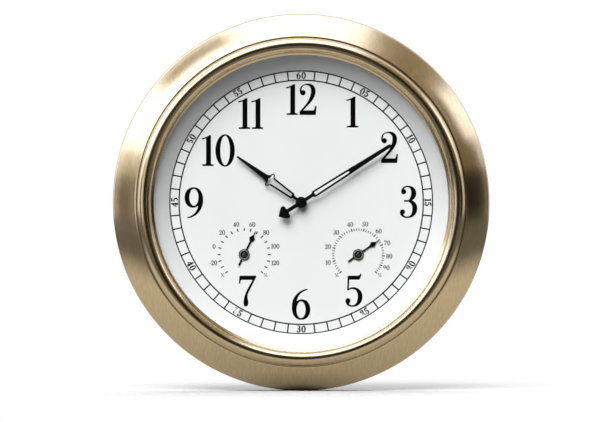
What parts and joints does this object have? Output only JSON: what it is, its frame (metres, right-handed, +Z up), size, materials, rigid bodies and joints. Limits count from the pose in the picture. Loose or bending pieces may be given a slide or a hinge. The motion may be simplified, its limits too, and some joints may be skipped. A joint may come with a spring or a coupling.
{
  "type": "radio-controlled wall clock",
  "caption": "Round wall clock in a stepped metal frame, with slotted hands, a thermometer and a hygrometer on the dial, and a battery movement behind it.",
  "frame": {"origin": "where the hanger's slot bears on the nail, in the wall plane", "axes": "+Z up as the dial is read, the dial faces -Y and the wall is on the +Y side, +X is right as the dial is read"},
  "size_m": [0.3556, 0.0454, 0.3556],
  "materials": {
    "champagne_metal": "brushed round the rim, champagne lacquer",
    "clear_glass": "clear, polished",
    "black_rubber": "matt",
    "white_plastic": "satin moulded",
    "dial_face": "matt white with black print",
    "zinc_steel": "zinc plated",
    "black_plastic": "fine moulded texture",
    "grey_plastic": "fine moulded texture",
    "natural_plastic": "natural moulded",
    "brass": "satin",
    "copper_wire": "enamelled wire",
    "dark_steel": "rolled laminations",
    "ferrite": "sintered, matt",
    "circuit_board": "solder mask",
    "cell_sleeve": "plain printed sleeve",
    "red_plastic": "moulded",
    "black_hand": "satin black paint"
  },
  "bodies": {
    "case": {"frame": "champagne_metal", "front_glass": "clear_glass", "glass_gasket": "black_rubber", "dial_ring": "white_plastic", "dial": "dial_face", "dial_screw_1": "zinc_steel", "dial_screw_2": "zinc_steel", "dial_screw_3": "zinc_steel", "dial_screw_4": "zinc_steel", "back_cover": "black_plastic", "cover_screw_1": "zinc_steel", "cover_screw_2": "zinc_steel", "cover_screw_3": "zinc_steel", "cover_screw_4": "zinc_steel", "cover_screw_5": "zinc_steel", "cover_screw_6": "zinc_steel", "hanger_plate": "zinc_steel", "hanger_screw_1": "zinc_steel", "hanger_screw_2": "zinc_steel", "movement_front_case": "grey_plastic", "movement_rear_case": "grey_plastic", "train_plate": "natural_plastic", "mounting_bushing": "brass", "rubber_washer": "black_rubber", "dial_washer": "black_hand", "mounting_nut": "black_hand", "coil_bobbin": "natural_plastic", "coil_winding": "copper_wire", "stator": "dark_steel", "circuit_board": "circuit_board", "receiver_chip": "black_plastic", "quartz_crystal": "zinc_steel", "antenna_rod": "ferrite", "antenna_coil": "copper_wire", "minus_contact": "zinc_steel", "plus_contact": "zinc_steel", "thermometer_cup": "black_plastic", "thermometer_coil": "brass", "hygrometer_cup": "black_plastic", "humidity_coil": "brass"},
    "minute_work": {"minute_wheel": "natural_plastic", "minute_hand": "black_hand", "hand_nut": "black_hand"},
    "hour_work": {"hour_wheel": "natural_plastic", "hour_hand": "black_hand"},
    "motion_work": {"motion_wheel": "natural_plastic"},
    "third_work": {"third_wheel": "natural_plastic"},
    "second_work": {"second_wheel": "natural_plastic"},
    "motor_rotor": {"rotor": "ferrite"},
    "thermometer_needle": {"thermometer_arbor": "brass", "thermometer_pointer": "black_hand"},
    "hygrometer_needle": {"hygrometer_arbor": "brass", "hygrometer_pointer": "black_hand"},
    "set_key": {"set_button": "red_plastic"},
    "receive_key": {"receive_button": "red_plastic"},
    "reset_key": {"reset_button": "red_plastic"},
    "zone_slider": {"time_zone_switch": "black_plastic"},
    "saving_slider": {"daylight_saving_switch": "black_plastic"},
    "cell": {"battery_cell": "cell_sleeve"}
  },
  "joints": [
    {"name": "minute_turn", "type": "hinge", "parent": "case", "child": "minute_work", "pos_m": [0, -0.02, -0.124], "axis": [0, 1, 0], "continuous": true},
    {"name": "hour_turn", "type": "hinge", "parent": "case", "child": "hour_work", "pos_m": [0, -0.02, -0.124], "axis": [0, 1, 0], "continuous": true},
    {"name": "motion_turn", "type": "hinge", "parent": "case", "child": "motion_work", "pos_m": [0.01128, -0.014, -0.1281], "axis": [0, 1, 0], "continuous": true},
    {"name": "third_turn", "type": "hinge", "parent": "case", "child": "third_work", "pos_m": [-0.00987, -0.012, -0.12759], "axis": [0, 1, 0], "continuous": true},
    {"name": "second_turn", "type": "hinge", "parent": "case", "child": "second_work", "pos_m": [-0.01832, -0.01, -0.12451], "axis": [0, 1, 0], "continuous": true},
    {"name": "rotor_turn", "type": "hinge", "parent": "case", "child": "motor_rotor", "pos_m": [-0.02582, -0.011, -0.12451], "axis": [0, 1, 0], "continuous": true},
    {"name": "thermometer_turn", "type": "hinge", "parent": "case", "child": "thermometer_needle", "pos_m": [-0.0538, -0.02, -0.1733], "axis": [0, 1, 0], "range_deg": [-161, 109], "stiffness_Nm_per_rad": 0.0005},
    {"name": "hygrometer_turn", "type": "hinge", "parent": "case", "child": "hygrometer_needle", "pos_m": [0.0538, -0.02, -0.1733], "axis": [0, 1, 0], "range_deg": [-190, 80], "stiffness_Nm_per_rad": 0.0005},
    {"name": "set_press", "type": "slide", "parent": "case", "child": "set_key", "axis": [0, -1, 0], "range_m": [0, 0.0005], "stiffness_N_per_m": 400},
    {"name": "receive_press", "type": "slide", "parent": "case", "child": "receive_key", "axis": [0, -1, 0], "range_m": [0, 0.0005], "stiffness_N_per_m": 400},
    {"name": "reset_press", "type": "slide", "parent": "case", "child": "reset_key", "axis": [0, -1, 0], "range_m": [0, 0.0005], "stiffness_N_per_m": 400},
    {"name": "zone_slide", "type": "slide", "parent": "case", "child": "zone_slider", "axis": [1, 0, 0], "range_m": [0, 0.006]},
    {"name": "saving_slide", "type": "slide", "parent": "case", "child": "saving_slider", "axis": [1, 0, 0], "range_m": [0, 0.002]},
    {"name": "cell_lift", "type": "slide", "parent": "case", "child": "cell", "axis": [0, 1, 0], "range_m": [0, 0.02]}
  ],
  "couplings": [
    {"joint": "hour_turn", "follows": "minute_turn", "ratio": 0.083333},
    {"joint": "motion_turn", "follows": "minute_turn", "ratio": -0.33333},
    {"joint": "third_turn", "follows": "minute_turn", "ratio": -6},
    {"joint": "second_turn", "follows": "minute_turn", "ratio": 30},
    {"joint": "rotor_turn", "follows": "minute_turn", "ratio": -120}
  ]
}
